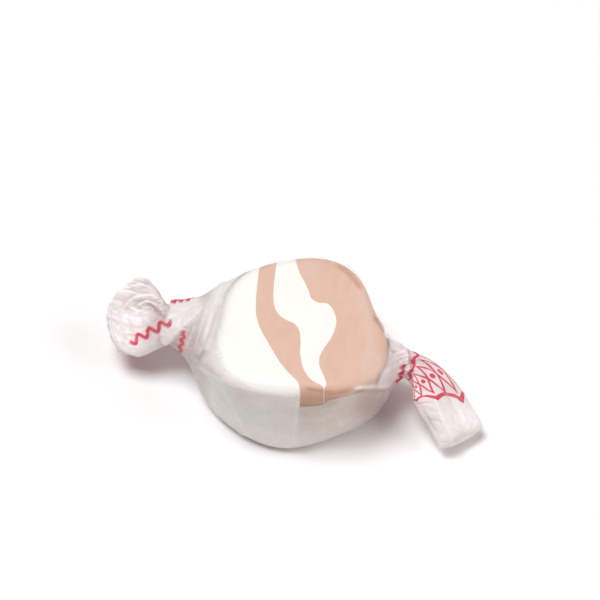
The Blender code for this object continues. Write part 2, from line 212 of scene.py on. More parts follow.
# Over how much its two edges rise, how far from them it is looked for, and the share of it that fades
BAND_LOWER_SLOPE = 1.6
BAND_UPPER_SLOPE = 5.0
BAND_REACH = 60.0
BAND_FADE = 0.12
BAND_FACING = (-0.7, -0.2)
BAND_RISE_FACING = (0.05, 0.45)
# How much smoother pleats and creases are on the band
BAND_PLEAT_CALM = 0.8
BAND_CREASE_CALM = 0.7

# Folds, as a kind, a width, a height in mm and a line. A ridge is a tent over the line; a step stands up on
# the line's right and sinks away over the width.
FOLDS = (
    # Left cone
    ("ridge", 6.0, 0.65, (
        (229, 279), (222, 291), (215, 305), (211, 320), (207, 336), (203, 348), (197, 362),
    )),
    ("ridge", 4.0, 0.45, ((224, 281), (214, 297), (206, 313), (200, 330), (196, 346), (192, 357))),
    ("ridge", 3.5, 0.40, ((196, 324), (191, 338), (186, 350))),
    ("ridge", 3.5, -0.40, ((205, 316), (199, 332), (194, 347), (190, 358))),
    ("ridge", 3.0, -0.45, ((219, 300), (214, 316), (208, 334), (201, 352))),
    ("step", 6.0, -0.60, ((204, 345), (200, 354), (197, 362))),
    # Rim crease round the front of the candy, and the wall's facets below it
    ("ridge", 5.0, 0.25, ((197, 362), (204, 370), (215, 376), (228, 382), (242, 387), (262, 391))),
    ("ridge", 4.0, 0.30, ((322, 399), (338, 395), (353, 391), (368, 385), (379, 381), (394, 384))),
    ("ridge", 14.0, 0.30, ((298, 400), (296, 420), (292, 446))),
    ("ridge", 10.0, 0.22, ((332, 402), (338, 418), (346, 434))),
    ("ridge", 14.0, 0.26, ((222, 384), (232, 404), (250, 438))),
    ("ridge", 10.0, 0.20, ((262, 396), (268, 420), (276, 444))),
    # Back and right of the top
    ("step", 5.0, 0.20, ((333, 262), (345, 268), (356, 277), (366, 289))),
    ("ridge", 2.5, 0.25, ((340, 262), (352, 270), (362, 281), (369, 293))),
    ("ridge", 2.5, 0.22, ((374, 308), (380, 318), (385, 330))),
    ("ridge", 6.0, 0.14, ((361, 290), (367, 315), (369, 340), (364, 378))),
    # Right cone and knot
    ("ridge", 3.0, 0.45, ((387, 330), (392, 342), (399, 352), (408, 358))),
    ("ridge", 3.0, 0.40, ((386, 345), (392, 357), (402, 366))),
    ("ridge", 2.5, -0.40, ((389, 338), (395, 350), (404, 361))),
    ("ridge", 2.5, 0.35, ((384, 372), (392, 372), (401, 372))),
    ("ridge", 8.0, 0.70, ((401, 350), (404, 356), (405, 364), (403, 374))),
    ("ridge", 2.5, -0.50, ((409, 350), (411, 360), (412, 372), (409, 382))),
    # Right tail
    ("ridge", 16.0, 0.75, ((428, 388), (437, 408), (446, 429), (455, 449))),
    ("ridge", 3.0, 0.16, ((450, 386), (459, 405), (468, 425))),
    ("ridge", 2.5, -0.30, ((418, 400), (428, 420), (438, 436))),
    # Left tail
    ("step", 10.0, 0.60, ((122, 352), (115, 336), (112, 318), (114, 300), (120, 284))),
    ("step", 12.0, 0.75, ((124, 312), (127, 304), (136, 297), (148, 295), (159, 300), (168, 313))),
    ("step", 9.0, 0.45, ((136, 309), (141, 304), (149, 302), (159, 308), (168, 318))),
    ("step", 8.0, 0.35, ((128, 289), (138, 284), (150, 288), (160, 298), (168, 311))),
    ("ridge", 5.0, 0.30, ((120, 300), (119, 318), (122, 334), (128, 346))),
    ("ridge", 4.5, 0.28, ((132, 306), (133, 322), (137, 336))),
    ("ridge", 4.0, 0.25, ((142, 308), (146, 320), (153, 329))),
    ("ridge", 3.0, -0.45, ((148, 303), (154, 308), (161, 314), (168, 319))),
)

# Half width of the painted highlight and shade lines along folds, and the fold's height in mm for a full line
MARK_WIDTH = 1.3
FULL_MARK = 0.5
# How far past its width a fold is looked for, the share of its length over which each end fades, and how
# steeply a step rises
FOLD_MARGIN = 2.0
FOLD_FADE = 0.15
STEP_SLOPE = 0.7
FOLD_FACING = (-0.05, 0.25)

# Softly milky patches over the candy, and clearer ones on its side: place, radius and amount
PATCHES = (
    ((312, 270), 13.0, 0.24),
    ((377, 345), 8.0, 0.10),
    ((372, 300), 9.0, 0.12),
    ((346, 268), 9.0, 0.14),
    ((366, 400), 15.0, -0.24),
    ((342, 404), 10.0, -0.08),
)

# Milky veils that begin at a line and grow to its right: width of the growth, milk, painted rim shade and
# line
VEILS = (
    (11.0, 0.72, 0.30, (
        (240, 275), (234, 283), (229, 295), (225, 313), (223, 330), (223, 346), (227, 363), (241, 377),
        (260, 385), (280, 388), (300, 389),
    )),
    (5.0, 0.92, 0.0, ((374, 386), (379, 373), (385, 360), (387, 343), (388, 328))),
)
# How many of those widths a veil reaches
VEIL_REACH = 2.0

# Marks, as half width, amount and line: painted highlights along crests, which also make the paper milkier,
# then brown lines of painted shade where folds lie in shade
PAINTED_HIGHLIGHT_LINES = (
    # Over the candy and along its front rim
    (7.0, 0.24, ((350, 280), (358, 294), (367, 314), (370, 340), (364, 364), (358, 386))),
    (3.0, 0.20, ((357, 298), (366, 320), (368, 345), (361, 370))),
    (1.8, 0.40, ((370, 351), (375, 356), (381, 361))),
    (2.8, 0.80, ((350, 389), (360, 388), (372, 387), (384, 386), (394, 384))),
    (2.0, 0.30, ((338, 262), (350, 268), (360, 279), (369, 294), (376, 308))),
    (1.8, 0.25, ((267, 268), (280, 264), (296, 262), (314, 262))),
    # Left cone, from the ear down
    (2.2, 0.75, ((229, 279), (220, 291), (213, 306), (208, 322), (204, 338), (200, 350))),
    (1.8, 0.65, ((222, 284), (213, 297), (206, 312), (201, 328), (198, 342))),
    (1.8, 0.50, ((237, 272), (226, 287), (218, 303), (213, 320))),
    (2.0, 0.70, ((204, 346), (210, 349), (217, 353), (224, 360))),
    (2.0, 0.60, ((201, 356), (209, 360), (219, 368), (232, 378))),
    (1.8, 0.55, ((206, 337), (212, 342), (219, 345))),
    # Left tail's rolled end, then the right tail's ridge and folded end
    (1.8, 0.90, ((126, 306), (136, 299), (147, 296), (157, 299), (165, 306), (169, 315))),
    (1.6, 0.70, ((134, 293), (147, 291), (158, 297), (167, 308))),
    (1.8, 0.70, ((121, 286), (111, 304), (111, 326), (116, 344), (128, 351))),
    (1.8, 0.90, ((436, 405), (443, 420), (449, 433), (455, 446))),
    (1.7, 0.90, ((450, 440), (457, 434), (465, 431), (474, 429), (480, 426))),
)
BROWN_LINES = (
    # Over the candy and along its front rim
    (1.8, 0.30, ((334, 264), (342, 268), (350, 275), (357, 283), (363, 291))),
    (1.8, 0.20, ((345, 262), (354, 268), (361, 276), (367, 286))),
    (1.8, 0.35, ((372, 315), (378, 321), (383, 328), (386, 334))),
    (2.2, 0.45, ((300, 386), (310, 389), (322, 391), (334, 393), (346, 391), (356, 388))),
    (1.8, 0.35, ((353, 392), (362, 391), (375, 391), (386, 390), (394, 388))),
    (2.6, 0.35, ((323, 386), (324, 394), (324, 405))),
    (11.0, 0.26, ((294, 398), (304, 398), (318, 399), (330, 399), (342, 397))),
    # Left cone, left tail, and the right tail's folded end
    (1.8, 0.35, ((206, 348), (202, 354), (197, 361))),
    (1.8, 0.20, ((203, 362), (212, 371), (224, 379))),
    (2.0, 0.14, ((128, 309), (137, 302), (147, 299), (156, 302), (163, 309))),
    (2.2, 0.34, ((148, 305), (156, 311), (162, 316), (168, 321))),
    (2.4, 0.20, ((452, 446), (458, 439), (466, 435), (474, 433), (480, 430))),
)
# The share of a mark's length over which each end fades
MARK_FADE = 0.2

# Spots of painted shade on the paper, as place, radius and amount
PAINTED_SHADE_SPOTS = (
    ((371, 404), 19.0, 0.95),
    ((304, 414), 11.0, 0.45),
    ((240, 393), 16.0, 0.20),
    ((193, 338), 15.0, 0.90),
    ((202, 352), 9.0, 0.60),
    ((114, 307), 10.0, 0.40),
    ((152, 305), 9.0, 0.40),
    ((431, 420), 12.0, 1.00),
    ((404, 358), 7.0, 0.50),
)

# Spots of painted light on the paper, in the same way
PAINTED_LIGHT_SPOTS = (
    ((391, 366), 11.0, 0.9),
    ((461, 418), 24.0, 1.0),
    ((213, 358), 10.0, 0.6),
    ((130, 318), 17.0, 0.9),
    ((143, 330), 12.0, 0.7),
)

# Plain wavy lines printed on the left tail and the knots: half width, start, end, how many waves, and height
PRINT_WAVES = (
    (1.8, (131, 342), (170, 321), 3.5, 3.6),
    (1.6, (172, 301), (193, 297), 3.0, 1.8),
    (1.6, (184, 332), (179, 355), 3.5, 1.5),
    (1.7, (404, 366), (396, 391), 3.5, 1.6),
)
WAVE_POINTS = 24
WAVE_SOFTNESS = 0.5
WAVE_FACING = (-0.1, 0.1)
# How far the print's pink shows through the paper round it
BLUSH_REACH = 9.0

# Border printed round the right tail and the left one's far side, in mm: its repeat, then each wavy row's
# place from the neck, bow, and half width where thin and where thick; between the rows a lattice, from where
# to where, its lines' half width along the tail, and the radius of the dot in each cell
PRINT_PITCH = 20.0 / 6.0
PRINT_ROWS = ((7.5, -0.9, 0.26, 0.48), (0.9, 0.45, 0.18, 0.30))
LATTICE_RUN = (1.7, 6.3)
LATTICE_LINE = 0.40
LATTICE_DOT = 0.36
PRINT_SOFTNESS = 0.06
# The border lies askew: its stretch as a middle value, a swing, and where round the tail it reaches farthest
PRINT_SKEW = (0.97, 0.34, 14.5)
TAIL_GIRTH = 20.0
# Where along X it sets in, and the facing that keeps it to the left tail's far side
RIGHT_PRINT_RUN = (13.0, 16.0)
LEFT_PRINT_RUN = (-22.5, -24.5)
LEFT_PRINT_FACING = (0.0, -0.3)
# From where to where along a tail its pink fades, and how much of it there is
BORDER_BLUSH_RUN = (10.0, 7.0)
BORDER_BLUSH = 0.8

# Share of its gap that the paper loses at the candy's back right shoulder, the gap that stays, and where
SHOULDER_HUG = 0.9
SHOULDER_GAP = 0.12
SHOULDER_START = (4.0, 8.0)
SHOULDER_END = (15.4, 13.8)
SHOULDER_BACK = (-4.0, 0.0)
SHOULDER_RISE = (4.0, 7.0)

# How far down the candy's side the paper clings, as bearings in degrees with heights, and how soon it is
# milky below that
CLING_HEIGHTS = (
    (-180.0, 12.0), (-154.0, 11.2), (-136.0, 12.4), (-126.0, 13.0), (-110.0, 13.3), (-82.0, 13.3),
    (-79.0, 11.6), (-70.0, 11.5), (-63.0, 12.0), (-61.0, 13.0), (-46.0, 13.3), (-36.0, 12.9),
    (-28.0, 12.0), (-10.0, 11.5), (10.0, 10.5), (60.0, 10.5), (90.0, 12.2), (180.0, 12.0),
)
WALL_RUN = (0.0, 0.7)

# Where along X the candy lies under the paper
CANDY_LEFT_RUN = (-19.5, -15.0)
CANDY_RIGHT_RUN = (14.4, 12.6)

# Milk of the paper: the least, what standing off adds, how much less that is over the candy, and the side's
# share of it; then what crests, the right cone, ink and the doubled band have at least
LEAST_MILK = 0.05
ADDED_MILK = 0.87
CANDY_CLEARING = 0.18
WALL_MILK = 0.86
CREST_MILK = 0.5
RIGHT_CONE_MILK = 0.97
RIGHT_CONE_RUN = (13.4, 15.2)
INK_MILK = 0.9
BAND_MILK = 0.98

# How much of its painted shade the side loses towards the floor, where painted bounce light lightens it, and
# how far below the clinging
SIDE_SHADE_LOSS = 0.75
SIDE_SHADE_LOSS_RUN = (5.0, 10.0)

# Where along X the left cone carries painted shade below the band over it, how much, and how much painted
# shade the hollows carry
CONE_SHADE_START = (-23.5, -21.0)
CONE_SHADE_END = (-11.5, -14.0)
CONE_SHADE = 0.55
CONE_FACING = (0.1, 0.4)
HOLLOW_SHADE = 0.6

# How much painted light whitens the right tail, and from where to where along X that sets in
TAIL_PAINTED_LIGHT = 0.35
TAIL_PAINTED_LIGHT_RUN = (17.5, 20.5)

# Where along X the paper is gathered and crinkled, and how much so on the right
LEFT_GATHERED_RUN = (-13.0, -16.0)
RIGHT_GATHERED_RUN = (13.8, 15.5)
RIGHT_GATHERED = 0.6

# How dense worn ink is, how milk varies, how much light passes through smooth and gathered paper, how white
# the lines between its facets are, how much its fibre adds to the relief, and how rough paper and candy are
INK_DENSITY = (0.72, 0.96)
CLOUDINESS = (0.88, 1.12)
LIGHT_THROUGH = (0.14, 0.30)
GATHERED_RANGE = (0.4, 1.0)
FACET_WHITENESS = 0.35
FIBRE_SHARE = 0.15
PAPER_ROUGHNESS = (0.30, 0.48)
TAFFY_ROUGHNESS = (0.38, 0.52)

# Colours as linear RGB
WHITE_TAFFY = ((0.93, 0.915, 0.875, 1.0), (0.89, 0.87, 0.82, 1.0))
COCOA_TAFFY = ((0.72, 0.485, 0.372, 1.0), (0.67, 0.44, 0.335, 1.0))
PAPER_COLOUR = (0.905, 0.875, 0.865, 1.0)
# Greyer paper for painted shade on the candy's side and at the top's rim
DIM_SHADE_PAPER_COLOUR = (0.82, 0.815, 0.765, 1.0)
SHADED_PAPER_COLOUR = (0.60, 0.535, 0.51, 1.0)
FOLD_SHADE_COLOUR = (0.46, 0.25, 0.16, 1.0)
PAINTED_LIGHT_PAPER_COLOUR = (0.97, 0.945, 0.935, 1.0)
PRINT_COLOUR = (0.72, 0.04, 0.10, 1.0)
BLUSH_COLOUR = (0.90, 0.55, 0.60, 1.0)
BLUSH_AMOUNT = 0.38
FLOOR_COLOUR = (0.95, 0.95, 0.95, 1.0)
FLOOR_SHADE = 0.985

# Studio in metres: the floor's size, the world's light, then each lamp's name, place, size, power and colour
FLOOR_SIZE = 6.0
WORLD_COLOUR = (1.0, 0.72, 0.66, 1.0)
WORLD_STRENGTH = 0.18
LAMPS = (
    ("softbox", (-0.18, 0.02, 0.60), 0.34, 3.45, (0.955, 0.985, 1.0)),
    ("right_fill", (0.42, 0.02, 0.28), 0.30, 0.95, (1.0, 0.985, 0.98)),
    ("front_fill", (-0.08, -0.48, 0.12), 0.24, 0.32, (1.0, 0.97, 0.95)),
)
# How many clear surfaces a ray of light may pass
CLEAR_SURFACES = 32


def camera_frame():
    """The camera's right, up and backward directions and its place in millimetres."""
    flat = math.cos(VIEW_ELEVATION)
    back = np.array([math.sin(VIEW_AZIMUTH) * flat, -math.cos(VIEW_AZIMUTH) * flat, math.sin(VIEW_ELEVATION)])
    right = np.array([math.cos(VIEW_AZIMUTH), math.sin(VIEW_AZIMUTH), 0.0])
    up = np.cross(back, right)
    rise = (MIDDLE_ROW - 0.5 * IMAGE) * SENSOR / (IMAGE * LENS) * VIEW_DISTANCE
    return right, up, back, np.array(MIDDLE) + back * VIEW_DISTANCE + up * rise


def smoothstep(value):
    value = np.clip(value, 0.0, 1.0)
    return value * value * (3.0 - 2.0 * value)


def ramp(x, run):
    """Smooth rise from 0 at the run's start to 1 at its end."""
    return smoothstep((x - run[0]) / (run[1] - run[0]))


def swell(x, place):
    """Bell curve, 1 at the place's middle and fading over its reach."""
    return np.exp(-(((x - place[0]) / place[1]) ** 2))


def largest(*shares):
    """The largest of several shares at each point."""
    return reduce(np.maximum, shares)


def fading_ends(along, share):
    """0 at a line's two ends and 1 between them, rising over a share of the way along it from 0 to 1."""
    return smoothstep(along / share) * smoothstep((1.0 - along) / share)


def zigzag(turns):
    """Wave of straight slopes, -1 at whole turns and 1 halfway between them."""
    return 4.0 * np.abs(turns - np.floor(turns + 0.5)) - 1.0


def smooth_curve(points, positions):
    """Catmull-Rom curve through the points, read at positions from 0 to 1."""
    points = np.array(points, dtype=float)
    padded = np.vstack([2 * points[0] - points[1], points, 2 * points[-1] - points[-2]])
    spans = len(points) - 1
    place = np.clip(np.asarray(positions) * spans, 0.0, spans)
    index = np.minimum(place.astype(int), spans - 1)
    t = (place - index)[:, None]
    before, start, end, after = (padded[index + offset] for offset in range(4))
    return 0.5 * (
        2 * start
        + (end - before) * t
        + (2 * before - 5 * start + 4 * end - after) * t**2
        + (3 * start - before - 3 * end + after) * t**3
    )


def add_object(name, data, material=None):
    piece = bpy.data.objects.new(name, data)
    bpy.context.scene.collection.objects.link(piece)
    if material is not None:
        data.materials.append(material)
    return piece


def evaluated_mesh(piece):
    """A new mesh of the piece with its modifiers or its curve's settings applied."""
    bpy.context.view_layer.update()
    return bpy.data.meshes.new_from_object(piece.evaluated_get(bpy.context.evaluated_depsgraph_get()))


def grid_faces(rows, columns, closed):
    """Faces of a grid of points, joined end to end round each row if closed."""
    faces = []
    for row in range(rows - 1):
        for column in range(columns if closed else columns - 1):
            across = (column + 1) % columns
            start = row * columns
            faces.append((start + column, start + columns + column, start + columns + across, start + across))
    return faces


# Candy


def slab_points(grow, rounding, steps, rim_steps, flat_rings, wall_rings):
    """Rings of points of the slab from the middle of its top to the middle of its underside."""
    radius = SLAB_RADIUS + grow
    top = SLAB_TOP + grow
    bottom = SLAB_BOTTOM - grow
    inner = radius - rounding
    profile = [(inner * step / flat_rings, top) for step in range(1, flat_rings)]
    for step in range(rim_steps + 1):
        angle = 0.5 * math.pi * (1.0 - step / rim_steps)
        profile.append((inner + rounding * math.cos(angle), top - rounding + rounding * math.sin(angle)))
    wall_top = top - rounding
    wall_bottom = bottom + rounding
    for step in range(1, wall_rings):
        profile.append((radius, wall_top + (wall_bottom - wall_top) * step / wall_rings))
    for step in range(rim_steps + 1):
        angle = -0.5 * math.pi * step / rim_steps
        profile.append((inner + rounding * math.cos(angle), wall_bottom + rounding * math.sin(angle)))
    profile += [(inner * step / flat_rings, bottom) for step in range(flat_rings - 1, 0, -1)]
    profile = np.array(profile)
    angles = np.linspace(0.0, math.tau, steps, endpoint=False)
    depth = 1.0 - profile[:, 1:2] / SLAB_TOP
    lobes = sum(size * np.cos(count * angles - math.radians(turn)) for count, size, turn in OUTLINE_LOBES)
    under = sum(size * np.cos(count * angles - math.radians(turn)) for count, size, turn in UNDERSIDE_LOBES)
    scale = 1.0 + (lobes[None, :] + depth * under[None, :]) / SLAB_RADIUS
    reach = profile[:, 0:1] * scale
    x = reach * np.cos(angles) + SLAB_CENTRE[0] - SLAB_LEAN * depth
    y = reach * np.sin(angles) + SLAB_CENTRE[1]
    z = np.repeat(profile[:, 1:2], steps, axis=1)
    return np.stack([x, y, z], axis=2)


def slab_mesh(name, rings):
    """Closed mesh of the slab's rings."""
    count, steps = rings.shape[:2]
    top = rings[0].mean(axis=0)
    bottom = rings[-1].mean(axis=0)
    points = np.vstack([rings.reshape(-1, 3), top[None, :], bottom[None, :]]) * MM
    faces = grid_faces(count, steps, True)
    last = (count - 1) * steps
    for step in range(steps):
        after = (step + 1) % steps
        faces.append((count * steps, step, after))
        faces.append((count * steps + 1, last + after, last + step))
    mesh = bpy.data.meshes.new(name)
    mesh.from_pydata(points.tolist(), [], faces)
    return mesh


def layer_cutter(name, left, right):
    """An upright block between two plan lines, made from a flat filled curve."""
    outline = np.vstack([left, right[::-1]])
    curve = bpy.data.curves.new(name, "CURVE")
    curve.dimensions = "2D"
    curve.fill_mode = "BOTH"
    curve.extrude = SLAB_TOP * MM
    spline = curve.splines.new("POLY")
    spline.points.add(len(outline) - 1)
    for point, (x, y) in zip(spline.points, outline):
        point.co = (x * MM, y * MM, 0.0, 1.0)
    spline.use_cyclic_u = True
    drawn = add_object(name, curve)
    drawn.location.z = 0.5 * SLAB_TOP * MM
    mesh = evaluated_mesh(drawn)
    mesh.transform(drawn.matrix_world)
    bpy.data.objects.remove(drawn)
    shape = bmesh.new()
    shape.from_mesh(mesh)
    bmesh.ops.remove_doubles(shape, verts=shape.verts, dist=MERGE_DISTANCE)
    bmesh.ops.recalc_face_normals(shape, faces=shape.faces)
    shape.to_mesh(mesh)
    shape.free()
    return add_object(name, mesh)


def make_layers(white, cocoa):
    """The four layers, cut from one slab so that they meet along their borders, and that slab's rings."""
    positions = np.linspace(0.0, 1.0, BORDER_STEPS * (len(BORDER_CORE_RIGHT) - 1) + 1)
    named_borders = (BORDER_RIBBON_LEFT, BORDER_RIBBON_RIGHT, BORDER_CORE_RIGHT)
    borders = [smooth_curve(points, positions) for points in named_borders]
    ends = np.array([[0.0, borders[0][0][1]], [0.0, borders[0][-1][1]]])
    edges = [ends + [-LAYER_REACH, 0.0]] + borders + [ends + [LAYER_REACH, 0.0]]
    rings = slab_points(
        CANDY_GROWTH, CANDY_ROUNDING, CANDY_STEPS, CANDY_RIM_STEPS, CANDY_FLAT_RINGS, CANDY_WALL_RINGS
    )
    layers = (
        ("white_outer_layer", "taffy_white_outer", white, "taffy_white"),
        ("cocoa_ribbon_layer", "taffy_cocoa_ribbon", cocoa, "taffy_cocoa"),
        ("white_core_layer", "taffy_white_core", white, "taffy_white"),
        ("cocoa_outer_layer", "taffy_cocoa_outer", cocoa, "taffy_cocoa"),
    )
    for index, (name, node, material, slot) in enumerate(layers):
        layer = add_object(name, slab_mesh(name, rings), material)
        cutter = layer_cutter(name + "_cutter", edges[index], edges[index + 1])
        cut = layer.modifiers.new("between_borders", "BOOLEAN")
        cut.operation = "INTERSECT"
        cut.solver = "EXACT"
        cut.object = cutter
        mesh = evaluated_mesh(layer)
        layer.modifiers.clear()
        layer.data = mesh
        bpy.data.objects.remove(cutter)
        mesh.shade_smooth()
        mesh.set_sharp_from_angle(angle=math.radians(CANDY_SHARP_ANGLE))
        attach(layer, "root")
        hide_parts(node)
    return rings


# Paper


def paper_form():
    """The taut shape of the paper: a hull round the slab and the two necks, for casting rays at."""
    shape = bmesh.new()
    rings = slab_points(PAPER_STAND_OFF, PAPER_ROUNDING, FORM_STEPS, CANDY_RIM_STEPS, 2, 2)
    for x, y, z in rings.reshape(-1, 3):
        shape.verts.new((x * MM, y * MM, z * MM))
    for neck, radius in ((NECK_LEFT, NECK_RADIUS_LEFT), (NECK_RIGHT, NECK_RADIUS_RIGHT)):
        for step in range(FORM_STEPS):
            angle = math.tau * step / FORM_STEPS
            side = radius * math.cos(angle)
            height = radius * math.sin(angle)
            shape.verts.new(Vector((neck[0], neck[1] + side, neck[2] + height)) * MM)
    hull = bmesh.ops.convex_hull(shape, input=shape.verts)
    bmesh.ops.delete(shape, geom=hull["geom_interior"], context="VERTS")
    tree = BVHTree.FromBMesh(shape)
    shape.free()
    return tree


def body_positions():
    """X of the rings between the necks, closer together at the slab's two sides."""
    middle = 0.5 * (NECK_LEFT[0] + NECK_RIGHT[0])
    half = 0.5 * (NECK_RIGHT[0] - NECK_LEFT[0])
    turn = np.linspace(-1.0, 1.0, BODY_RINGS)
    return middle + half * ((1.0 - RING_CROWDING) * turn + RING_CROWDING * np.sin(0.5 * math.pi * turn))


def body_section(form, x, angles):
    """Points of the taut paper in the upright plane at x."""
    along = (x - NECK_LEFT[0]) / (NECK_RIGHT[0] - NECK_LEFT[0])
    neck_y = NECK_LEFT[1] + along * (NECK_RIGHT[1] - NECK_LEFT[1])
    middle = Vector((x, neck_y, NECK_LEFT[2])) * MM
    inside = 1.0 - abs(2.0 * along - 1.0)
    stretch = 1.0 + COLUMN_SPREAD * float(smoothstep(inside / SPREAD_RUN))
    off_left = np.clip((SLAB_LEFT - x) / (SLAB_LEFT - NECK_LEFT[0]), 0.0, 1.0)
    off_right = np.clip((x - SLAB_RIGHT) / (NECK_RIGHT[0] - SLAB_RIGHT), 0.0, 1.0)
    sink_left = LEFT_HOLLOW * math.sin(math.pi * off_left)
    sink_right = RIGHT_HOLLOW * math.sin(math.pi * off_right)
    neck_radius = NECK_RADIUS_LEFT + along * (NECK_RADIUS_RIGHT - NECK_RADIUS_LEFT)
    points = []
    for angle in angles:
        aim = Vector((0.0, -math.cos(angle) * stretch, math.sin(angle))).normalized()
        hit, _, _, distance = form.ray_cast(middle, aim)
        reach = neck_radius if hit is None else distance / MM
        sink = sink_left * (1.0 + LEFT_UNDERCUT * max(-aim.z, 0.0)) + sink_right
        reach = max(reach * (1.0 - sink), neck_radius)
        points.append((x, neck_y + aim.y * reach, NECK_LEFT[2] + aim.z * reach))
    return points


def tail_section(station, heading, angles):
    """Points of a flattened, slightly dished tube across a tail."""
    x, y, z, width, thickness, roll, dish, lag = station
    forward = heading / np.linalg.norm(heading)
    front = np.cross(forward, (0.0, 0.0, 1.0))
    front /= np.linalg.norm(front)
    above = np.cross(front, forward)
    roll = math.radians(roll)
    across = math.cos(roll) * front + math.sin(roll) * above
    upward = math.cos(roll) * above - math.sin(roll) * front
    side = np.cos(angles)
    blunt = 1.0 - EDGE_BLUNTNESS * (1.0 - thickness / width)
    rounded = np.sign(np.sin(angles)) * np.abs(np.sin(angles)) ** blunt
    rise = 0.5 * thickness * rounded + dish * (side**2 - 0.5)
    ahead = forward * math.copysign(1.0, -x)
    flat = np.array((x, y, z)) + np.outer(0.5 * width * side, across) + np.outer(rise, upward)
    return flat + np.outer(lag * side**2, ahead)


def tail_rings(stations):
    """Stations and headings along a tail, closer together at its neck."""
    positions = np.linspace(0.0, 1.0, TAIL_RINGS)
    if stations[0][0] > 0.0:
        positions = positions**NECK_CROWDING
    else:
        positions = 1.0 - (1.0 - positions) ** NECK_CROWDING
    spread = smooth_curve(stations, positions)
    headings = np.gradient(spread[:, :3], axis=0)
    headings /= np.linalg.norm(headings, axis=1)[:, None]
    neck = NECK_RIGHT if stations[0][0] > 0.0 else NECK_LEFT
    leaving = smoothstep(np.linalg.norm(spread[:, :3] - neck, axis=1) / NECK_BEND)[:, None]
    return spread, (1.0 - leaving) * (1.0, 0.0, 0.0) + leaving * headings


def turned(columns, x):
    """Angles of the columns at x, in radians, with the twist: none over the candy, all in the tails."""
    twist = LEFT_TWIST * ramp(x, LEFT_TWIST_RUN) + RIGHT_TWIST * ramp(x, RIGHT_TWIST_RUN)
    return np.radians(SEAM_ANGLE + columns + twist)


def tail_points(stations, columns):
    """Rings of points along a whole tail."""
    rings = zip(*tail_rings(stations))
    return [tail_section(station, heading, turned(columns, station[0])) for station, heading in rings]


def base_rings(form, columns):
    """The smooth sheet: rings of points from the left tail's end to the right tail's end."""
    body = [np.array(body_section(form, x, turned(columns, x))) for x in body_positions()]
    return np.array(tail_points(LEFT_TAIL, columns)[:-1] + body + tail_points(RIGHT_TAIL, columns)[1:])


def softened(values, width):
    """A grid smoothed along both its ways by a bell of the given width in cells."""
    reach = int(math.ceil(3.0 * width))
    bell = np.exp(-0.5 * (np.arange(-reach, reach + 1) / width) ** 2)
    bell /= bell.sum()
    for axis in (0, 1):
        padding = [(0, 0)] * values.ndim
        padding[axis] = (reach, reach)
        padded = np.pad(values, padding, mode="reflect", reflect_type="odd")
        count = values.shape[axis]
        moved = [np.take(padded, range(shift, shift + count), axis=axis) for shift in range(len(bell))]
        values = sum(weight * part for weight, part in zip(bell, moved))
    return values


def outward(rings):
    """Directions out of the sheet."""
    normal = np.cross(np.gradient(rings, axis=0), np.gradient(rings, axis=1))
    return normal / np.maximum(np.linalg.norm(normal, axis=2), TINY)[:, :, None]


def pleat_height(x, columns):
    """Pleats gathered towards the necks, fading at a flat tail's edges, and the fold at the left neck."""
    flat = ramp(x, LEFT_FLAT_RUN) + ramp(x, RIGHT_FLAT_RUN)
    calm = 1.0 - PLEAT_EDGE_CALM * flat * np.cos(turned(columns[None, :], x)) ** 2
    left = swell(x, LEFT_PLEAT_PLACE) + FAN_PLEAT_SHARE * ramp(x, FAN_PLEAT_RUN)
    right = swell(x, RIGHT_PLEAT_PLACE) + TAIL_PLEAT_SHARE * ramp(x, TAIL_PLEAT_RUN)
    reach, shift, change = PLEAT_WANDER
    pleats = 0.0
    for count, depth, hollow in PLEATS:
        wander = reach * np.sin(shift * count + change * x)
        pleats = pleats + depth * zigzag(count * (columns[None, :] - hollow) / 360.0 + wander)
    from_fold = (columns + SEAM_ANGLE - NECK_FOLD_ANGLE + 180.0) % 360.0 - 180.0
    fold = NECK_FOLD_HEIGHT * swell(x, NECK_FOLD_PLACE) * swell(from_fold, (0.0, NECK_FOLD_WIDTH))[None, :]
    return pleats * calm * (left + right) + fold


def sheet_places(rings, columns):
    """Place of each point on the flat sheet: along it and round it, in millimetres."""
    centres = rings.mean(axis=1)
    steps = np.linalg.norm(np.diff(centres, axis=0), axis=1)
    along = np.concatenate([[0.0], np.cumsum(steps)])
    middle_ring = np.argmin(np.abs(centres[:, 0]))
    along -= along[middle_ring]
    girth = np.linalg.norm(np.diff(rings[middle_ring], axis=0), axis=1).sum()
    round_it = girth * columns / columns[-1]
    return np.meshgrid(along, round_it, indexing="ij")


def creases(along, round_it, amount):
    """Random straight creases pressed into the sheet, deeper where amount is larger."""
    draw = random.Random(CREASE_SEED)
    height = np.zeros_like(along)
    for _ in range(CREASE_COUNT):
        ahead = along - draw.uniform(along.min(), along.max())
        beside = round_it - draw.uniform(0.0, round_it.max())
        turn = draw.gauss(0.0, CREASE_TURN)
        half_length = draw.uniform(*CREASE_HALF_LENGTHS)
        half_width = draw.uniform(*CREASE_HALF_WIDTHS)
        depth = draw.uniform(*CREASE_DEPTHS)
        forward = ahead * math.cos(turn) + beside * math.sin(turn)
        aside = beside * math.cos(turn) - ahead * math.sin(turn)
        ridge = np.clip(1.0 - np.abs(aside) / half_width, 0.0, 1.0)
        height += depth * ridge * np.clip(1.0 - (forward / half_length) ** 2, 0.0, 1.0)
    return amount * height


def in_picture(points):
    """Pixel column and row of points given in millimetres."""
    right, up, back, place = camera_frame()
    away = points - place
    scale = IMAGE * LENS / SENSOR / -(away @ back)
    return np.stack([0.5 * IMAGE + scale * (away @ right), 0.5 * IMAGE - scale * (away @ up)], axis=-1)


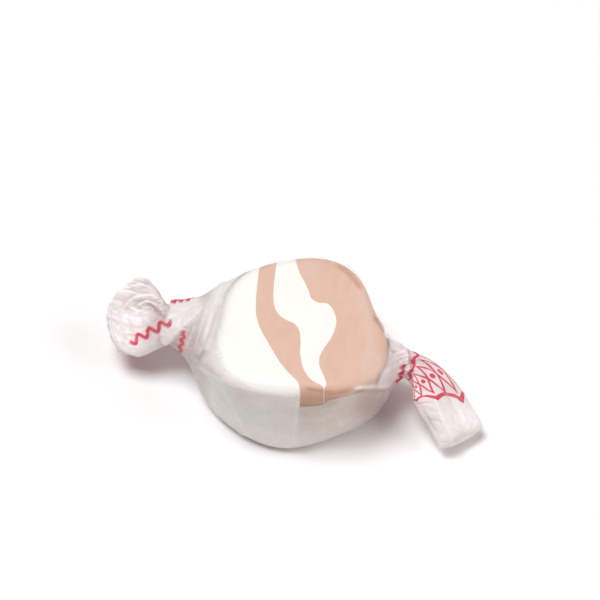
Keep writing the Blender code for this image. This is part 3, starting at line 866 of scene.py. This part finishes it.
def from_line(places, line, reach):
    """Pixels from each place to a smoothed line, positive on its right, and the way along it from 0 to 1.
    Places farther off than the reach are left at that distance."""
    line = smooth_curve(line, np.linspace(0.0, 1.0, LINE_FINENESS * len(line)))
    steps = np.diff(line, axis=0)
    lengths = np.linalg.norm(steps, axis=1)
    befores = np.concatenate([[0.0], np.cumsum(lengths)])
    signed = np.full(places.shape[:-1], float(reach))
    along = np.zeros_like(signed)
    after_start = (places > line.min(axis=0) - reach).all(axis=-1)
    inside = after_start & (places < line.max(axis=0) + reach).all(axis=-1)
    near = places[inside]
    best = np.full(len(near), np.inf)
    best_signed = np.full(len(near), np.inf)
    best_along = np.zeros(len(near))
    for start, step, length, before in zip(line[:-1], steps, lengths, befores):
        to = near - start
        part = np.clip(to @ step / length**2, 0.0, 1.0)
        off = np.linalg.norm(to - part[:, None] * step, axis=1)
        side = np.where(step[0] * to[:, 1] - step[1] * to[:, 0] > 0.0, 1.0, -1.0)
        closer = off < best
        best = np.where(closer, off, best)
        best_signed = np.where(closer, off * side, best_signed)
        best_along = np.where(closer, (before + part * length) / befores[-1], best_along)
    signed[inside] = best_signed
    along[inside] = best_along
    return signed, along


def fold_relief(places, towards):
    """The folds on the sheet's near side: their height, then how strongly their crests carry painted
    highlight, partly the wax's whitened creases, and their hollows painted shade, both from 0 to 1."""
    height = np.zeros(places.shape[:-1])
    crest = height.copy()
    hollow = height.copy()
    for kind, width, size, line in FOLDS:
        signed, along = from_line(places, line, width + FOLD_MARGIN)
        fade = fading_ends(along, FOLD_FADE)
        shape = np.clip(1.0 - np.abs(signed) / width, 0.0, 1.0)
        strength = fade * min(1.0, abs(size) / FULL_MARK)
        if kind == "step":
            shape = shape * smoothstep(0.5 + STEP_SLOPE * signed)
            hollow = np.maximum(hollow, strength * swell(signed, (-2.0 * MARK_WIDTH, 2.0 * MARK_WIDTH)))
        height += size * fade * shape
        crest = np.maximum(crest, strength * (size > 0.0) * swell(signed, (0.0, MARK_WIDTH)))
        hollow = np.maximum(hollow, strength * (size < 0.0) * swell(signed, (0.0, 2.0 * MARK_WIDTH)))
    facing = ramp(towards, FOLD_FACING)
    return height * facing, crest * facing, hollow * facing


def band_share(places, towards):
    """How much of the doubled band lies at each place, from 0 to 1."""
    lower, along = from_line(places, BAND_LOWER, BAND_REACH)
    upper, _ = from_line(places, BAND_UPPER, BAND_REACH)
    share = smoothstep(lower / BAND_LOWER_SLOPE) * smoothstep(-upper / BAND_UPPER_SLOPE)
    return share * fading_ends(along, BAND_FADE) * ramp(towards, BAND_FACING)


def mark_share(places, towards, lines):
    """How strongly marks show at each place, from 0 to 1."""
    share = np.zeros(places.shape[:-1])
    for half_width, amount, line in lines:
        signed, along = from_line(places, line, BELL_END * half_width)
        share = np.maximum(share, amount * fading_ends(along, MARK_FADE) * swell(signed, (0.0, half_width)))
    return share * (towards > 0.0)


def spot_share(places, towards, spots):
    """How strongly round spots show at each place, from 0 to 1."""
    share = np.zeros(places.shape[:-1])
    for middle, radius, amount in spots:
        share = np.maximum(share, amount * swell(np.linalg.norm(places - middle, axis=-1), (0.0, radius)))
    return share * (towards > 0.0)


def veil_share(places, towards):
    """Milk and painted rim shade of the veils at each place."""
    milk = np.zeros(places.shape[:-1])
    painted_rim_shade = milk.copy()
    for width, amount, rim_shading, line in VEILS:
        signed, along = from_line(places, line, VEIL_REACH * width)
        share = smoothstep(signed / width) * ((along > 0.0) & (along < 1.0) & (towards > 0.0))
        milk = np.maximum(milk, amount * share)
        painted_rim_shade = np.maximum(painted_rim_shade, rim_shading * share)
    return milk, painted_rim_shade


def wave_line(start, end, waves, height):
    """A picture line that waves evenly from its start to its end."""
    share = np.linspace(0.0, 1.0, WAVE_POINTS)
    run = np.subtract(end, start)
    side = np.array((-run[1], run[0])) / np.hypot(*run)
    return start + share[:, None] * run + height * np.sin(math.tau * waves * share)[:, None] * side


def wave_share(places, towards):
    """How much the printed waves cover each place, and how much of their pink shows there, from 0 to 1."""
    ink = np.zeros(places.shape[:-1])
    blush = ink.copy()
    for half_width, start, end, waves, height in PRINT_WAVES:
        signed, _ = from_line(places, wave_line(start, end, waves, height), BELL_END * BLUSH_REACH)
        ink = np.maximum(ink, smoothstep(half_width - np.abs(signed) + WAVE_SOFTNESS))
        blush = np.maximum(blush, swell(signed, (0.0, BLUSH_REACH)))
    facing = ramp(towards, WAVE_FACING)
    return ink * facing, blush * facing


def gap_to_candy(points, candy):
    """Distance from each point of the sheet to the candy, in millimetres."""
    rows, columns = points.shape[:2]
    shape = bmesh.new()
    shape.from_mesh(slab_mesh("gap", candy))
    tree = BVHTree.FromBMesh(shape)
    shape.free()
    gaps = np.empty(rows * columns)
    for index, point in enumerate(points.reshape(-1, 3)):
        gaps[index] = tree.find_nearest(Vector(point) * MM)[3] / MM
    return gaps.reshape(rows, columns)


class PaperGrid:
    """The sheet as a grid of points, in rings from the left tail's end to the right tail's end."""

    def __init__(self, candy):
        self.columns = np.linspace(0.0, 360.0 + SEAM_OVERLAP, SHEET_COLUMNS)
        self.rings = softened(base_rings(paper_form(), self.columns), SOFTENING)
        self.x = self.rings[:, :, 0].mean(axis=1)[:, None]
        self.out = outward(self.rings)
        self.towards = self.out @ camera_frame()[2]
        self.along, self.round_it = sheet_places(self.rings, self.columns)
        places = in_picture(self.rings)
        self.band = band_share(places, self.towards)
        self.folds, self.crest, self.hollow = fold_relief(places, self.towards)
        self.gap = gap_to_candy(self.rings, candy)
        self.hug_shoulder()
        self.loose = ramp(self.gap, LOOSE_GAP)
        self.calm = 1.0 - TAIL_CALM * (ramp(self.x, LEFT_CALM_RUN) + ramp(self.x, RIGHT_CALM_RUN))
        self.add_relief()

    def hug_shoulder(self):
        """Draw the sheet in towards the candy's back right shoulder."""
        share = ramp(self.x, SHOULDER_START) * ramp(self.x, SHOULDER_END)
        share = share * ramp(self.rings[:, :, 2], SHOULDER_RISE) * ramp(self.rings[:, :, 1], SHOULDER_BACK)
        pull = SHOULDER_HUG * share * np.maximum(self.gap - SHOULDER_GAP, 0.0)
        self.rings = self.rings - self.out * pull[:, :, None]
        self.gap = self.gap - pull

    def add_relief(self):
        """Raise pleats, seam, creases, folds and band, clear of the candy and the floor."""
        seam = SEAM_LIFT * ramp(self.columns, (360.0 - SEAM_REST - SEAM_RAMP, 360.0 - SEAM_REST))
        crumpled = self.loose * self.calm * (1.0 - BAND_CREASE_CALM * self.band)
        band_height = BAND_HEIGHT + BAND_NECK_HEIGHT * swell(self.x, BAND_NECK_PLACE)
        height = pleat_height(self.x, self.columns) * (1.0 - BAND_PLEAT_CALM * self.band) + seam[None, :]
        height += creases(self.along, self.round_it, TIGHT_CREASE + (LOOSE_CREASE - TIGHT_CREASE) * crumpled)
        height += self.folds
        height += self.band * ramp(self.towards, BAND_RISE_FACING) * band_height
        height = np.maximum(height, CANDY_CLEARANCE - self.gap)
        self.rings = self.rings + self.out * height[:, :, None]
        self.rings[:, :, 2] = np.maximum(self.rings[:, :, 2], 0.0)

    def below_clinging(self):
        """How far each point lies below the height down to which the paper clings."""
        depth = 1.0 - self.rings[:, :, 2] / SLAB_TOP
        ahead = self.rings[:, :, 0] - SLAB_CENTRE[0] + SLAB_LEAN * depth
        beside = self.rings[:, :, 1] - SLAB_CENTRE[1]
        bearings, heights = zip(*CLING_HEIGHTS)
        return np.interp(np.degrees(np.arctan2(beside, ahead)), bearings, heights) - self.rings[:, :, 2]


def paper_shares(grid):
    """What the paper looks like at each point, as shares from 0 to 1 that its material reads by name."""
    x = grid.x
    towards = grid.towards
    seen = in_picture(grid.rings)
    below = grid.below_clinging()
    wall = ramp(below, WALL_RUN)
    over_candy = ramp(x, CANDY_LEFT_RUN) * ramp(x, CANDY_RIGHT_RUN)
    # Veils make the paper milkier, and carry painted shade where the top curves down at its rim
    veil, painted_rim_shade = veil_share(seen, towards)
    painted_highlights = mark_share(seen, towards, PAINTED_HIGHLIGHT_LINES)
    ink, blush = wave_share(seen, towards)

    milk = np.maximum(grid.loose * (1.0 - CANDY_CLEARING * over_candy), WALL_MILK * wall)
    milk = LEAST_MILK + ADDED_MILK * milk
    for place, radius, amount in PATCHES:
        patch = amount * swell(np.linalg.norm(seen - place, axis=-1), (0.0, radius)) * (towards > 0.0)
        milk = np.maximum(milk, patch) if amount > 0.0 else milk + patch
    milk = largest(milk, veil, painted_highlights, CREST_MILK * grid.crest, INK_MILK * ink, BAND_MILK * grid.band)
    milk = np.maximum(milk, RIGHT_CONE_MILK * ramp(x, RIGHT_CONE_RUN))

    # Painted shade on the candy's side, where the sheet stands over the shaded gap, lighter towards the floor
    painted_dim_shade = over_candy * wall * (1.0 - SIDE_SHADE_LOSS * ramp(below, SIDE_SHADE_LOSS_RUN))
    # Painted shade on the left cone below the band, and in the folds' hollows
    cone = ramp(x, CONE_SHADE_START) * ramp(x, CONE_SHADE_END) * ramp(towards, CONE_FACING)
    cone = CONE_SHADE * cone * (1.0 - grid.band) * (1.0 - over_candy * (1.0 - wall))
    shade = np.maximum(cone, HOLLOW_SHADE * grid.hollow) * (1.0 - grid.crest)
    # Painted light: lit spots, the right tail, highlights on crests and lines, and the band, also whiter as
    # doubled paper
    spots = spot_share(seen, towards, PAINTED_LIGHT_SPOTS)
    tail = TAIL_PAINTED_LIGHT * ramp(x, TAIL_PAINTED_LIGHT_RUN)
    right_gathered = RIGHT_GATHERED * ramp(x, RIGHT_GATHERED_RUN)
    return {
        "milk": milk,
        "painted_dim_shade": np.maximum(painted_dim_shade, painted_rim_shade * over_candy * (1.0 - wall)),
        "shade": np.maximum(shade, spot_share(seen, towards, PAINTED_SHADE_SPOTS)),
        "painted_light_and_whitening": largest(grid.band, grid.crest, painted_highlights, spots, tail),
        "brown": mark_share(seen, towards, BROWN_LINES),
        "ink": ink,
        "blush": blush * (1.0 - grid.band),
        "printed": ramp(x, RIGHT_PRINT_RUN) + ramp(x, LEFT_PRINT_RUN) * ramp(towards, LEFT_PRINT_FACING),
        "gathered": np.maximum(ramp(x, LEFT_GATHERED_RUN) * grid.calm, right_gathered),
    }


def store_tail_places(mesh, grid):
    """Place on a tail, as a UV map: how far from the neck, and how far round the tail, in millimetres."""
    neck_left = np.interp(NECK_LEFT[0], grid.x[:, 0], grid.along[:, 0])
    neck_right = np.interp(NECK_RIGHT[0], grid.x[:, 0], grid.along[:, 0])
    from_neck = np.where(grid.along > 0.0, grid.along - neck_right, neck_left - grid.along)
    round_tail = np.broadcast_to(TAIL_GIRTH * grid.columns / 360.0, from_neck.shape)
    loops = np.empty(len(mesh.loops), dtype=int)
    mesh.loops.foreach_get("vertex_index", loops)
    places = np.stack([from_neck.ravel()[loops], round_tail.ravel()[loops]], axis=-1)
    mesh.uv_layers.new(name="tail_place").data.foreach_set("uv", places.ravel())


def make_wrapper(candy, material):
    """The whole sheet, with its shares and its places on the tails stored on its mesh."""
    grid = PaperGrid(candy)
    count, width = grid.rings.shape[:2]
    mesh = bpy.data.meshes.new("waxed_paper_sheet")
    mesh.from_pydata((grid.rings.reshape(-1, 3) * MM).tolist(), [], grid_faces(count, width, False))
    mesh.shade_smooth()
    for name, values in paper_shares(grid).items():
        store = mesh.attributes.new(name, "FLOAT", "POINT")
        store.data.foreach_set("value", np.broadcast_to(values, (count, width)).ravel())
    store_tail_places(mesh, grid)
    sheet = add_object("waxed_paper_sheet", mesh, material)
    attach(sheet, "root")
    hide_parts("wrapper")


# Materials


class Shading:
    """Short forms for building a material's node tree."""

    def __init__(self, name):
        self.material = bpy.data.materials.new(name)
        self.material.use_nodes = True
        self.tree = self.material.node_tree
        self.tree.nodes.clear()
        self.output = self.add("ShaderNodeOutputMaterial")

    def add(self, kind, inputs=None, **settings):
        node = self.tree.nodes.new(kind)
        for key, value in settings.items():
            setattr(node, key, value)
        for key, value in (inputs or {}).items():
            if isinstance(value, bpy.types.NodeSocket):
                self.tree.links.new(value, node.inputs[key])
            else:
                node.inputs[key].default_value = value
        return node

    def given(self, name):
        """A share that the mesh carries at each point."""
        return self.add("ShaderNodeAttribute", attribute_name=name).outputs["Fac"]

    def math(self, operation, first, second=0.0, clamp=False):
        inputs = {0: first, 1: second}
        return self.add("ShaderNodeMath", inputs, operation=operation, use_clamp=clamp).outputs[0]

    def times(self, first, second):
        return self.math("MULTIPLY", first, second)

    def plus(self, first, second):
        return self.math("ADD", first, second)

    def minus(self, first, second):
        return self.math("SUBTRACT", first, second)

    def greater(self, first, second, clamp=False):
        return self.math("MAXIMUM", first, second, clamp)

    def noise(self, place, scale, detail=3.0, roughness=0.5):
        inputs = {"Vector": place, "Scale": scale, "Detail": detail, "Roughness": roughness}
        return self.add("ShaderNodeTexNoise", inputs).outputs["Fac"]

    def stretched(self, place, scale):
        return self.add("ShaderNodeMapping", {"Vector": place, "Scale": scale}).outputs["Vector"]

    def between(self, value, low, high, out_low=0.0, out_high=1.0):
        """Smooth change from one output to another while the value goes from low to high."""
        inputs = {"Value": value, "From Min": low, "From Max": high, "To Min": out_low, "To Max": out_high}
        return self.add("ShaderNodeMapRange", inputs, interpolation_type="SMOOTHSTEP").outputs["Result"]

    def mix_colour(self, factor, first, second):
        return self.add("ShaderNodeMix", {0: factor, 6: first, 7: second}, data_type="RGBA").outputs[2]

    def mix_shader(self, factor, first, second):
        inputs = {0: factor, 1: first.outputs[0], 2: second.outputs[0]}
        return self.add("ShaderNodeMixShader", inputs)

    def bump(self, height, strength, distance):
        inputs = {"Height": height, "Strength": strength, "Distance": distance}
        return self.add("ShaderNodeBump", inputs).outputs["Normal"]

    def principled(self, colour, roughness, specular, **inputs):
        inputs = {"Base Color": colour, "Roughness": roughness, "Specular IOR Level": specular, **inputs}
        return self.add("ShaderNodeBsdfPrincipled", inputs)

    def finish(self, surface):
        self.tree.links.new(surface.outputs[0], self.output.inputs["Surface"])
        return self.material


def taffy_material(name, light, dark):
    """Smooth pulled candy: faint drawn-out streaks, soft mottling, small pores and a waxy shine."""
    s = Shading(name)
    place = s.add("ShaderNodeTexCoord").outputs["Object"]
    streaks = s.noise(s.stretched(place, (1.0, 0.25, 0.25)), scale=900.0, detail=4.0)
    mottle = s.noise(place, scale=160.0, detail=2.0)
    pores = s.noise(place, scale=2600.0, detail=2.0)
    shade = s.plus(s.times(streaks, 0.5), s.times(mottle, 0.5))
    colour = s.mix_colour(s.between(shade, 0.35, 0.7), light, dark)
    relief = s.plus(s.times(streaks, 0.5), s.times(pores, 0.25))
    bump = s.bump(relief, strength=0.25, distance=0.0001)
    rough = s.between(mottle, 0.3, 0.7, *TAFFY_ROUGHNESS)
    return s.finish(s.principled(colour, rough, specular=0.35, Normal=bump))


def print_mask(s, u, v):
    """A made-up border for a tail: two wavy rows with a dotted lattice between them."""
    middle, swing, farthest = PRINT_SKEW
    angle = s.times(s.minus(v, farthest), math.tau / TAIL_GIRTH)
    stretch = s.plus(s.times(s.math("COSINE", angle), swing), middle)
    u = s.math("DIVIDE", u, stretch)
    cell = s.math("PINGPONG", v, 0.5 * PRINT_PITCH)
    arch = s.math("SINE", s.times(cell, math.pi / PRINT_PITCH))
    masks = []
    for base, bow, thin, thick in PRINT_ROWS:
        away = s.math("ABSOLUTE", s.minus(u, s.plus(s.times(arch, bow), base)))
        half_width = s.plus(s.times(arch, thin - thick), thick)
        masks.append(s.between(s.minus(half_width, away), -PRINT_SOFTNESS, PRINT_SOFTNESS))
    start, end = LATTICE_RUN
    rise = s.times(cell, (end - start) / (0.5 * PRINT_PITCH))
    across = s.math("PINGPONG", v, 0.25 * PRINT_PITCH)
    down = s.minus(u, 0.5 * (start + end))
    from_dot = s.math("SQRT", s.plus(s.times(across, across), s.times(down, down)))
    away_up = s.math("ABSOLUTE", s.minus(u, s.plus(rise, start)))
    away_down = s.math("ABSOLUTE", s.minus(u, s.minus(end, rise)))
    for away, reach in ((away_up, LATTICE_LINE), (away_down, LATTICE_LINE), (from_dot, LATTICE_DOT)):
        masks.append(s.between(away, reach - PRINT_SOFTNESS, reach + PRINT_SOFTNESS, 1.0, 0.0))
    return reduce(s.greater, masks)


def paper_facets(s, place):
    """Crumpled facets: how far into a facet each point is, and the thin lines between them, from 0 to 1."""
    drawn = s.stretched(place, (0.45, 1.0, 1.0))
    bend = s.add("ShaderNodeTexNoise", {"Vector": drawn, "Scale": 260.0, "Detail": 2.0})
    shift = s.add("ShaderNodeVectorMath", {0: bend.outputs["Color"], "Scale": 0.0016}, operation="SCALE")
    warped = s.add("ShaderNodeVectorMath", {0: drawn, 1: shift.outputs[0]}, operation="ADD").outputs[0]
    cells = s.add("ShaderNodeTexVoronoi", {"Vector": warped, "Scale": 520.0}, feature="DISTANCE_TO_EDGE")
    distance = cells.outputs["Distance"]
    return s.between(distance, 0.0, 0.16), s.between(distance, 0.0, 0.05, 1.0, 0.0)


def paper_material():
    """Waxed paper: clear where it clings, milky where it stands off, crinkled, with a border on the tails."""
    s = Shading("waxed_paper_look")
    place = s.add("ShaderNodeTexCoord").outputs["Object"]
    on_tail = s.add("ShaderNodeUVMap", uv_map="tail_place").outputs["UV"]
    tail = s.add("ShaderNodeSeparateXYZ", {"Vector": on_tail})
    cloud = s.noise(place, scale=220.0)
    facet, facet_line = paper_facets(s, place)
    gathered = s.given("gathered")
    printed = s.given("printed")
    brown = s.given("brown")

    border = s.times(print_mask(s, tail.outputs["X"], tail.outputs["Y"]), printed)
    density = s.between(s.noise(place, scale=1500.0), 0.25, 0.5, *INK_DENSITY)
    ink = s.times(s.greater(border, s.given("ink")), density)
    border_blush = s.times(s.times(s.between(tail.outputs["X"], *BORDER_BLUSH_RUN), printed), BORDER_BLUSH)
    blush = s.times(s.greater(s.given("blush"), border_blush), BLUSH_AMOUNT)
    # Painted light from the mesh, together with the whiter lines between crumpled facets
    painted_light_and_white_lines = s.greater(s.given("painted_light_and_whitening"), s.times(s.times(facet_line, gathered), FACET_WHITENESS))

    milk = s.times(s.given("milk"), s.between(cloud, 0.25, 0.75, *CLOUDINESS))
    cover = s.greater(milk, s.greater(s.times(ink, INK_MILK), brown), clamp=True)
    # Painted shade: greyer paper on the candy's side and along the top's rim
    colour = s.mix_colour(s.given("painted_dim_shade"), PAPER_COLOUR, DIM_SHADE_PAPER_COLOUR)
    # Darker painted shade on the left cone, in fold hollows and in spots
    colour = s.mix_colour(s.given("shade"), colour, SHADED_PAPER_COLOUR)
    colour = s.mix_colour(blush, colour, BLUSH_COLOUR)
    colour = s.mix_colour(painted_light_and_white_lines, colour, PAINTED_LIGHT_PAPER_COLOUR)
    # Brown painted shade along folds
    colour = s.mix_colour(s.math("DIVIDE", brown, cover), colour, FOLD_SHADE_COLOUR)
    colour = s.mix_colour(ink, colour, PRINT_COLOUR)

    crinkle = s.noise(place, scale=700.0, detail=5.0, roughness=0.6)
    fibre = s.noise(place, scale=3500.0, detail=2.0)
    relief = s.plus(s.plus(crinkle, s.times(facet, gathered)), s.times(fibre, FIBRE_SHARE))
    bump = s.bump(relief, strength=0.5, distance=0.00025)
    rough = s.between(cloud, 0.3, 0.7, *PAPER_ROUGHNESS)
    front = s.principled(colour, rough, specular=0.45, Normal=bump)
    through = s.add("ShaderNodeBsdfTranslucent", {"Color": colour, "Normal": bump})
    paper = s.mix_shader(s.between(gathered, *GATHERED_RANGE, *LIGHT_THROUGH), front, through)
    return s.finish(s.mix_shader(cover, s.add("ShaderNodeBsdfTransparent"), paper))


def floor_material():
    """Pale, dull and barely mottled."""
    s = Shading("pale_floor")
    place = s.add("ShaderNodeTexCoord").outputs["Object"]
    tone = s.between(s.noise(place, scale=6.0), 0.3, 0.7)
    shade = tuple(FLOOR_SHADE * part for part in FLOOR_COLOUR[:3]) + (1.0,)
    return s.finish(s.principled(s.mix_colour(tone, FLOOR_COLOUR, shade), roughness=0.9, specular=0.0))


# Studio


def make_floor():
    bpy.ops.mesh.primitive_plane_add(size=FLOOR_SIZE, location=(0.0, 0.0, 0.0))
    floor = bpy.context.object
    floor.name = "floor"
    floor.data.materials.append(floor_material())


def make_light(name, place, size, power, colour):
    """A square lamp aimed at the candy's middle."""
    lamp = bpy.data.lights.new(name, "AREA")
    lamp.shape = "SQUARE"
    lamp.size = size
    lamp.energy = power
    lamp.color = colour
    light = add_object(name, lamp)
    light.location = place
    aim = Vector(MIDDLE) * MM - Vector(place)
    light.rotation_mode = "QUATERNION"
    light.rotation_quaternion = aim.to_track_quat("-Z", "Y")


def make_studio():
    world = bpy.data.worlds.new("studio")
    world.use_nodes = True
    background = world.node_tree.nodes["Background"]
    background.inputs["Color"].default_value = WORLD_COLOUR
    background.inputs["Strength"].default_value = WORLD_STRENGTH
    bpy.context.scene.world = world
    for lamp in LAMPS:
        make_light(*lamp)
    bpy.context.scene.view_settings.view_transform = "Standard"
    bpy.context.scene.cycles.transparent_max_bounces = CLEAR_SURFACES


def make_camera():
    lens = bpy.data.cameras.new("camera")
    lens.lens = LENS
    lens.sensor_width = SENSOR
    lens.clip_start = CLIP_START
    camera = add_object("camera", lens)
    right, up, back, place = camera_frame()
    turn = Matrix((right, up, back)).transposed().to_4x4()
    turn.translation = Vector(place) * MM
    camera.matrix_world = turn
    bpy.context.scene.camera = camera


make_camera()
make_studio()
make_floor()
white_look = taffy_material("white_taffy_look", *WHITE_TAFFY)
cocoa_look = taffy_material("cocoa_taffy_look", *COCOA_TAFFY)
candy_rings = make_layers(white_look, cocoa_look)
make_wrapper(candy_rings, paper_material())
